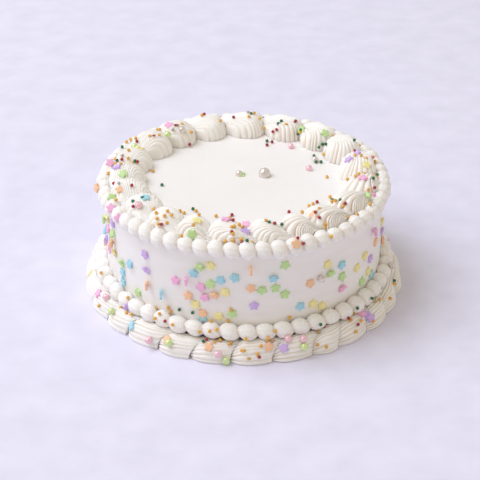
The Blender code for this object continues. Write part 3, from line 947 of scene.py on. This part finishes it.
def star_blank():
    """A pressed star, flat on local Z, with its middle at the origin."""
    bm = bmesh.new()
    bmesh.ops.create_circle(bm, cap_ends=True, segments=10, radius=STAR_TIP)
    for corner in bm.verts:
        step = round(math.atan2(corner.co.x, corner.co.y) / math.radians(36))
        if step % 2:
            corner.co *= STAR_WAIST / STAR_TIP
    tips = [corner for corner in bm.verts if corner.co.length > 0.9 * STAR_TIP]
    bmesh.ops.bevel(bm, geom=tips, offset=TIP_ROUNDING, segments=3, profile=0.5,
                    affect="VERTICES", material=-1)
    bmesh.ops.translate(bm, verts=bm.verts, vec=(0, 0, -STAR_THICKNESS / 2))
    top = bmesh.ops.extrude_face_region(bm, geom=list(bm.faces))
    raised = [item for item in top["geom"] if isinstance(item, bmesh.types.BMVert)]
    bmesh.ops.translate(bm, verts=raised, vec=(0, 0, STAR_THICKNESS))
    bmesh.ops.recalc_face_normals(bm, faces=bm.faces)
    rims = [edge for edge in bm.edges if edge.calc_face_angle(0) > math.radians(60)
            and abs(edge.verts[0].co.z - edge.verts[1].co.z) < 0.01 * MM]
    bmesh.ops.bevel(bm, geom=rims, offset=RIM_ROUNDING, segments=3, profile=0.5,
                    affect="EDGES", material=-1)
    return bm


def ball(radius, segments, rings):
    """A small round sugar ball with its middle at the origin."""
    bm = bmesh.new()
    bmesh.ops.create_uvsphere(bm, u_segments=segments, v_segments=rings, radius=radius)
    return bm


STAR_SHAPE = mesh_of(star_blank(), "star_shape")
PEARL_SHAPE = mesh_of(ball(PEARL_RADIUS, 20, 12), "pearl_shape")
BIG_PEARL_SHAPE = mesh_of(ball(BIG_PEARL_RADIUS, 32, 20), "big_pearl_shape")
BEAD_SHAPE = mesh_of(ball(BEAD_RADIUS, 12, 8), "bead_shape")
print("faces of a star, pearl and bead:", len(STAR_SHAPE.polygons),
      len(PEARL_SHAPE.polygons), len(BEAD_SHAPE.polygons))


TRAYS = {}


def stamp(kind, shape, placement):
    """Add a copy of a shape at a placement to the tray of its kind and colour."""
    if kind not in TRAYS:
        TRAYS[kind] = bmesh.new()
    bm = TRAYS[kind]
    first = len(bm.verts)
    bm.from_mesh(shape)
    bm.verts.ensure_lookup_table()
    bmesh.ops.transform(bm, matrix=placement, verts=bm.verts[first:])


def lie_on(place, normal, spin):
    """A placement with local Z along the normal, turned by spin about it."""
    turned = normal.to_track_quat("Z", "Y").to_matrix().to_4x4()
    return Matrix.Translation(place) @ turned @ Matrix.Rotation(spin, 4, "Z")

# %% [markdown]
# Stars on the wall. They were thrown on by hand: most lie nearly flat against
# the cream, in loose runs, and some lean out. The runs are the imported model's
# own, and the back is filled by the same seeded rule. A star marked with * in
# its run stands on its edge, and those at the far left lean every way.

# %% Stars on the wall
STAR_SINK = 0.5 * MM
STAR_SPACING = 6.7 * MM
STAR_LOWEST = 25.0 * MM
STAR_HIGHEST = 60.8 * MM
BACK_STARS = 9
LEAN = math.radians(26)
EDGE_LIFT = 2.2 * MM
JUMBLED = (185, 210)
JUMBLED_LEAN = 35
USUAL_LEAN = 14
LEANING_EVERY = 6
LEANING_ABOVE = 27 * MM
EXTRA_SPACING = 3 * MM
WALL_RUNS = (
    (190.5, 52.0, -88, 8.2, "green* sky orange*"),
    (197.8, 58.5, -90, 7.4, "yellow pink lilac* pink"),
    (204.6, 60.8, -87, 6.9, "lilac green orange* yellow"),
    (212.3, 38.5, -86, 6.9, "green sky sky"),
    (218.6, 42.6, 0, 7.0, "sky"),
    (223.1, 24.8, 0, 7.0, "green"),
    (228.3, 56.2, -84, 10.4, "lilac lilac orange*"),
    (236.9, 33.7, 0, 7.0, "sky*"),
    (242.8, 45.7, 0, 7.0, "pink"),
    (247.9, 48.4, 52, 6.8, "pink* sky green"),
    (257.4, 60.8, 0, 7.0, "yellow"),
    (253.4, 44.9, 28, 6.9, "pink green sky"),
    (254.9, 38.1, 22, 6.8, "pink orange yellow"),
    (266.6, 53.8, 0, 7.0, "sky"),
    (248.2, 37.2, -50, 7.2, "orange yellow orange"),
    (260.4, 25.4, 18, 8.6, "yellow green"),
    (272.6, 60.4, 0, 7.0, "orange*"),
    (272.8, 46.4, -14, 6.9, "orange green"),
    (274.0, 33.9, 0, 7.0, "lilac"),
    (281.4, 52.6, -80, 7.3, "sky green"),
    (286.0, 40.2, 0, 7.0, "green"),
    (285.9, 60.7, 0, 7.0, "green"),
    (296.6, 44.0, 0, 7.0, "orange"),
    (304.4, 53.6, -72, 7.4, "yellow green"),
    (292.5, 29.2, 0, 7.0, "sky"),
    (298.0, 28.6, -30, 7.6, "yellow yellow"),
    (311.8, 49.0, -87, 8.6, "sky green pink"),
    (321.3, 40.0, 0, 7.0, "yellow"),
    (325.4, 27.0, 0, 7.0, "green"),
    (326.8, 44.6, -38, 10.6, "yellow lilac"),
    (330.6, 30.2, -44, 7.4, "yellow sky"),
    (333.4, 57.0, 0, 7.0, "pink*"),
    (337.4, 46.0, 0, 7.0, "orange"),
    (348.6, 51.0, -70, 9.4, "yellow lilac orange*"),
)


def front_stars():
    """The stars of the wall's runs, as azimuth, height and colour."""
    stars = []
    for azimuth, height, direction, step, colours in WALL_RUNS:
        for index, colour in enumerate(colours.split()):
            along = index * step * MM * math.cos(math.radians(direction))
            up = index * step * MM * math.sin(math.radians(direction))
            turned = azimuth + math.degrees(along / CAKE_RADIUS)
            level = min(max(height * MM + up, STAR_LOWEST), STAR_HIGHEST)
            stars.append((turned, level, colour))
    return stars


def wall_stars(rng):
    """All stars of the wall: the runs, then an even scatter over the back."""
    stars = front_stars()
    wanted = len(stars) + BACK_STARS
    while len(stars) < wanted:
        azimuth = rng.uniform(-4, 186)
        level = rng.uniform(STAR_LOWEST, STAR_HIGHEST)
        nearest = min(
            math.hypot(math.radians((azimuth - other[0] + 180) % 360 - 180) * CAKE_RADIUS,
                       level - other[1]) for other in stars)
        if nearest > STAR_SPACING + EXTRA_SPACING:
            stars.append((azimuth, level, rng.choice(list(STAR_COLOURS))))
    return stars


star_rng = random.Random(SEED)
for number, (azimuth, level, marked) in enumerate(wall_stars(star_rng)):
    colour = marked.strip("*")
    if number % LEANING_EVERY == LEANING_EVERY - 1 and level > LEANING_ABOVE:
        lean = LEAN
    else:
        lean = math.radians(star_rng.uniform(-USUAL_LEAN, USUAL_LEAN))
    if JUMBLED[0] < azimuth < JUMBLED[1]:
        lean = math.radians(star_rng.uniform(-JUMBLED_LEAN, JUMBLED_LEAN))
    place = spot(azimuth, CAKE_RADIUS + abs(lean) * STAR_TIP / 2, level)
    outward = Vector((place.x, place.y, 0)).normalized()
    normal = Matrix.Rotation(lean, 3, Vector((0, 0, 1)).cross(outward)) @ outward
    raised = place + normal * (STAR_THICKNESS / 2 - STAR_SINK)
    if marked != colour:
        # A star that stands on its edge shows its thin side to the front.
        normal = Vector((math.copysign(1.0, place.x), star_rng.uniform(-0.2, 0.2), 0)).normalized()
        raised = place + outward * (STAR_THICKNESS / 2 + EDGE_LIFT * normal.cross(outward).length)
    stamp("star " + colour, STAR_SHAPE, lie_on(raised, normal, star_rng.uniform(0, math.tau)))
print("stars on the wall:", number + 1)

# %% [markdown]
# Stars and pearls on the shells. Those that the imported solids carry are named
# by their shell, and by how far they lie behind the middle of its head and
# outwards from it. The rest were read from the photograph: some on its
# view flattened round the cake, as azimuth and distance from the middle, and
# some as a point of the picture. A ray from the camera then finds the cream.

# %% Sugar on the shells
PEARL_RISE = 0.6
DISC_PEARL_SINK = 0.25
WALL_PEARLS = ((301.2, 45.7, "silver"),)
DISC_PEARLS = (
    (33.0, 16.0, BIG_PEARL_RADIUS, "silver"),
    (108.5, 9.9, PEARL_RADIUS, "silver"),
    (21.8, 46.0, PEARL_RADIUS, "rose"),
    (57.0, 58.4, PEARL_RADIUS, "rose"),
    (31.8, 55.6, PEARL_RADIUS, "silver"),
)
TOP_TOPPINGS = (
    (2, "star", "green", -6, -1), (6, "pearl", "silver", 3, -7), (7, "pearl", "lime", -6, -5),
    (8, "star", "yellow", -5, -2), (9, "star", "lilac", 3, 6.5), (11, "star", "sky", 3.5, 0.5),
    (13, "star", "yellow", 3, 3), (14, "star", "pink", 1, -3), (17, "star", "orange", -6, 0.5),
    (19, "star", "pink", 1.5, 2), (20, "star", "lilac", 3.5, -6), (20, "star", "yellow", -4.5, 4.5),
)
BASE_TOPPINGS = (
    (1, "star", "orange", -1.5, 4.2), (2, "star", "orange", 3, 4), (4, "star", "lilac", -1.5, 4.6),
    (7, "star", "lilac", -4, 4.4), (11, "star", "pink", 1, 4.2), (15, "pearl", "silver", 1, 4.6),
    (19, "star", "green", 1, 4.2), (24, "star", "yellow", -2.5, 4.5), (25, "star", "pink", 1.5, 4.2),
    (26, "pearl", "lime", -0.5, 4.4), (27, "star", "sky", -4, 4.2),
)
# The heads of the base shells are longer here than in the solids, which puts their
# middles 2.4 mm further back. The sugar keeps its place on the cake.
BASE_SETBACK = -2.4
READING_LEVEL = CAKE_HEIGHT + 6.3 * MM
STARS_READ = {
    "lilac": "20,79.8 270.6,75.6",
    "green": "58.1,74.9 181.6,77.9 201.9,88.4 248.6,83.9 338.75,82.4",
    "pink": "125.9,88.4 170.9,88.4 209.4,93.6 217.5,95.9 271.4,67.4 338.4,86.9",
    "orange": "196.6,81.6 289,95.1",
}
PEARLS_READ = {"lime": "153.1,82.4 151.6,94.4", "rose": "213.75,78.6"}
STARS_SEEN = {
    "lilac": "366,315 128,307 82,284",
    "green": "241,175",
    "pink": "361,314",
    "orange": "97,188 269,347",
    "sky": "203,317",
}
PEARLS_SEEN = {
    "lime": "169,344 226,361 304,347",
    "rose": "149,340 218,354 288,339 303,339 107,297",
    "silver": "391,265",
}
# How far a piece of sugar turns from the cream's slope towards the camera.
FACING = {"star": 0.3, "pearl": 1.0}
LOWEST_SUGAR = 1 * MM


def on_shell(shell, follower, along, across):
    """Where a topping lies on a shell, and how the smooth shell faces there."""
    tail_end = tail_reach(shell, follower)
    step = 0.2 * MM

    def surface(at_along, at_across):
        return bend(shell, at_along, at_across, dome_height(shell, tail_end, at_along, at_across))

    ahead = surface(along + step, across) - surface(along - step, across)
    outward = surface(along, across + step) - surface(along, across - step)
    normal = outward.cross(ahead).normalized()
    above = surface(along, across) + normal * shell.height
    return CREAM.ray_cast(above, -normal)[0], normal


def lay(kind, colour, place, normal, spin, radius=PEARL_RADIUS):
    """Lay one star or pearl on the cream."""
    if kind == "star":
        middle = place + normal * (STAR_THICKNESS / 2 - STAR_SINK)
        stamp("star " + colour, STAR_SHAPE, lie_on(middle, normal, spin))
        return
    shape = PEARL_SHAPE if radius == PEARL_RADIUS else BIG_PEARL_SHAPE
    stamp("pearl " + colour, shape, lie_on(place + normal * radius * PEARL_RISE, normal, spin))


for border_name, shells, placed, setback in (
        ("top_shell", TOP_SHELLS, TOP_TOPPINGS, 0.0),
        ("base_shell", BASE_SHELLS, BASE_TOPPINGS, BASE_SETBACK)):
    spin_rng = random.Random(border_name)
    for number, kind, colour, along, across in sorted(placed, key=lambda row: row[0]):
        shell, follower = shells[number - 1], shells[number % len(shells)]
        place, normal = on_shell(shell, follower, (along + setback) * MM, across * MM)
        lay(kind, colour, place, normal, spin_rng.uniform(0, math.tau))
for azimuth, level, colour in WALL_PEARLS:
    place = spot(azimuth, CAKE_RADIUS, level * MM)
    lay("pearl", colour, place, spot(azimuth, 1.0, 0.0), 0.0)
for azimuth, distance, radius, colour in DISC_PEARLS:
    place = spot(azimuth, distance * MM, CAKE_HEIGHT - DISC_PEARL_SINK * radius)
    lay("pearl", colour, place, Vector((0, 0, 1)), 0.0, radius)


def points_in(text):
    """The pairs of numbers written in a text."""
    return [tuple(float(part) for part in pair.split(",")) for pair in text.split()]


def top_points(text):
    """Picture points of readings on the top border, as azimuth and distance in millimetres."""
    return [picture_point(spot(azimuth, distance * MM, READING_LEVEL))
            for azimuth, distance in points_in(text)]


seen_rng = random.Random(SEED)
for kind, read, seen in (("star", STARS_READ, STARS_SEEN), ("pearl", PEARLS_READ, PEARLS_SEEN)):
    for colour, text in seen.items():
        for x, y in top_points(read.get(colour, "")) + points_in(text):
            place, normal = seen_at(x, y)
            if place is None or place.z < LOWEST_SUGAR:
                print("no cream under", kind, colour, x, y)
                continue
            towards = (CAMERA_PLACE - place).normalized()
            normal = (normal + towards * FACING[kind]).normalized()
            lay(kind, colour, place, normal, seen_rng.uniform(0, math.tau))
print("kinds of sugar laid:", len(TRAYS))

# %% [markdown]
# Tiny sugar beads, a little over 2 mm across, were scattered last. They gather
# in drifts on the shells and lie one by one on the wall's beads. They were read
# on strips, which are views of the photograph flattened round the cake.
# A strip has 16 columns to a degree, and its rows run inwards over the top
# border, down the wall or outwards over the base border. Each reading goes back
# to its place on the cake and then to a pixel, and two that fall on touching
# pixels are one bead. Some more were read in the picture itself.
# Behind, where nothing is seen, a seeded scatter lays a like mixture.

# %% Tiny beads
STRIP_COLUMNS = 16
STRIP_MARGIN = 24


@dataclass
class Strip:
    """A flattened view: the distance from the middle and height at its first row, and their steps."""

    distance: float
    distance_step: float
    level: float
    level_step: float

    def place(self, start, column, row):
        """The place that a point of the strip shows, where start is its first azimuth."""
        rows = row - STRIP_MARGIN
        return spot(start + column / STRIP_COLUMNS, self.distance + rows * self.distance_step,
                    self.level + rows * self.level_step)


TOP_STRIP = Strip(99 * MM, -0.15 * MM, READING_LEVEL, 0.0)
WALL_STRIP = Strip(90 * MM, 0.0, 72.2 * MM, -72.2 * MM / 420)
BASE_STRIP = Strip(85.5 * MM, 0.1125 * MM, 5.4 * MM, 0.0)
BEADS_READ = (
    (TOP_STRIP, 0, {
        "gold": """
            170,98 165,105 220,130 285,140 285,165 430,287 905,212 1085,155 1260,235 1325,140 1365,90
            1402,125""",
        "rosy": "235,105",
        "green": "515,100 580,230 615,232 590,268 925,185 920,235 1045,112 1140,140 1150,165 1387,88",
        "crimson": "1040,130 1125,240 1145,263",
        "silver": "1408,80",
    }),
    (TOP_STRIP, 90, {
        "gold": """
            168,200 192,155 302,82 490,125 500,222 690,105 680,115 670,155 740,155 785,118 800,125
            900,100 925,85 975,85 1080,135 1225,105 1300,120 1315,140 1210,165 1265,182""",
        "crimson": "75,132 285,75 540,112 530,118 775,138 935,120 1230,135 1245,207 650,310",
        "green": "1055,90 1258,118 1235,190",
        "silver": "600,150 1180,125",
    }),
    (TOP_STRIP, 180, {
        "gold": """
            15,100 410,100 655,197 715,188 785,152 800,180 830,130 865,165 872,160 830,208 755,225
            850,253 890,250 960,290 1020,272 1050,90 1043,205 1180,288 1330,110 1375,100 1365,155
            1345,220 1365,220 1400,237 1420,135 1430,215 1310,285""",
        "crimson": "168,127 225,197 537,145 850,135 1355,185 1430,100 1343,270 1320,310",
        "green": "465,165 440,210 915,302 305,320",
        "silver": "175,148",
    }),
    (TOP_STRIP, 270, {
        "gold": """
            50,105 5,215 200,260 515,43 570,115 590,140 835,97 775,118 870,187 990,95 1360,108 555,265
            680,285 725,250 725,283 885,237 915,230 930,262 1190,140 1410,130 1375,208 1415,193 1310,238""",
        "green": "18,105 215,247 1405,112 312,210 945,218 920,247 1350,127",
        "crimson": "247,230 340,48 330,90 615,187 645,226 450,292 785,285 920,185 1225,122",
    }),
    (WALL_STRIP, 180, {
        "gold": """
            565,360 607,412 545,435 465,435 855,327 880,347 840,372 952,300 962,316 975,373 1155,373
            1228,365 1270,355 1236,326 1345,308 1360,263 1257,410 1295,403 1348,418""",
        "crimson": "918,367 1208,406",
        "green": "1027,297 1118,293 1190,418",
    }),
    (WALL_STRIP, 270, {
        "gold": "285,313 202,363 155,385 15,383 110,427 820,412 790,435",
        "green": "505,376 855,393 1070,420",
        "crimson": "545,398 755,407",
    }),
    (BASE_STRIP, 180, {
        "gold": "68,107 145,203 430,180 460,243 520,85 610,65 600,97 1257,55 1290,45 1350,75 1430,120",
        "crimson": "778,220 1205,50",
        "green": "1195,80",
    }),
    (BASE_STRIP, 270, {
        "gold": """
            105,97 75,145 27,200 5,120 432,150 457,200 745,97 785,130 682,175 820,65 825,180 1055,117
            1090,165 1130,207 1250,158""",
        "crimson": "83,183 568,38 765,58 743,135 625,250",
        "green": "895,45 1040,70 1290,152",
    }),
)
BEADS_SEEN = {
    "gold": "153,172 327,178",
    "green": "267,142 314,157 316,163 321,163",
    "crimson": "267,146 272,143",
}
BEAD_PIXELS = 2
BEAD_SINK = 0.15


def bead_points(colour):
    """Picture points of the beads of one colour, from left to right, then those read there."""
    points = {picture_point(strip.place(start, column, row))
              for strip, start, readings in BEADS_READ
              for column, row in points_in(readings.get(colour, ""))}
    kept = []
    for point in sorted(points):
        if all(math.dist(point, other) >= BEAD_PIXELS for other in kept):
            kept.append(point)
    return kept + points_in(BEADS_SEEN.get(colour, ""))


def lay_bead(colour, place, normal):
    """Press one tiny bead a little into the cream."""
    middle = place + normal * BEAD_RADIUS * (1 - BEAD_SINK)
    stamp("bead " + colour, BEAD_SHAPE, lie_on(middle, normal, 0.0))


for colour in BEAD_FINISH:
    for x, y in bead_points(colour):
        place, normal = seen_at(x, y)
        if place is None or place.z < LOWEST_SUGAR:
            print("no cream under bead", colour, x, y)
            continue
        lay_bead(colour, place, normal)
    print(colour, "beads seen:", len(bead_points(colour)))

BACK_BEADS = 150
BACK_ARC = (-10, 190)
TOP_SHARE = 0.55
TOP_DISTANCES = (76, 89)
WALL_LEVELS = (5, 30)
FAR_OFF = 0.2
BEAD_MIX = {"gold": 6, "green": 2, "crimson": 2}
scatter_rng = random.Random(SEED)
laid = 0
while laid < BACK_BEADS:
    azimuth = scatter_rng.uniform(*BACK_ARC)
    if scatter_rng.random() < TOP_SHARE:
        origin = spot(azimuth, scatter_rng.uniform(*TOP_DISTANCES) * MM, FAR_OFF)
        aim = Vector((0, 0, -1))
    else:
        origin = spot(azimuth, FAR_OFF, scatter_rng.uniform(*WALL_LEVELS) * MM)
        aim = -spot(azimuth, 1.0, 0.0)
    place, normal, _, _ = CREAM.ray_cast(origin, aim)
    # A bead is hidden when cream stands between the camera and a point well above the bead.
    above = place + normal * 3 * BEAD_RADIUS
    hidden = CREAM.ray_cast(above, CAMERA_PLACE - above)[0]
    colour = scatter_rng.choices(list(BEAD_MIX), list(BEAD_MIX.values()))[0]
    if hidden:
        lay_bead(colour, place, normal)
        laid += 1
print("tiny beads behind:", laid)

# %% Finish the sugar
for kind in sorted(TRAYS):
    family, colour = kind.split()
    finish = {"star": STAR_PASTE, "pearl": PEARL_FINISH, "bead": BEAD_FINISH}[family][colour]
    piece = finish_piece(TRAYS[kind], f"sugar_{family}s_{colour}", finish, sharp=40)
    print(piece.name, "faces:", len(piece.data.polygons))
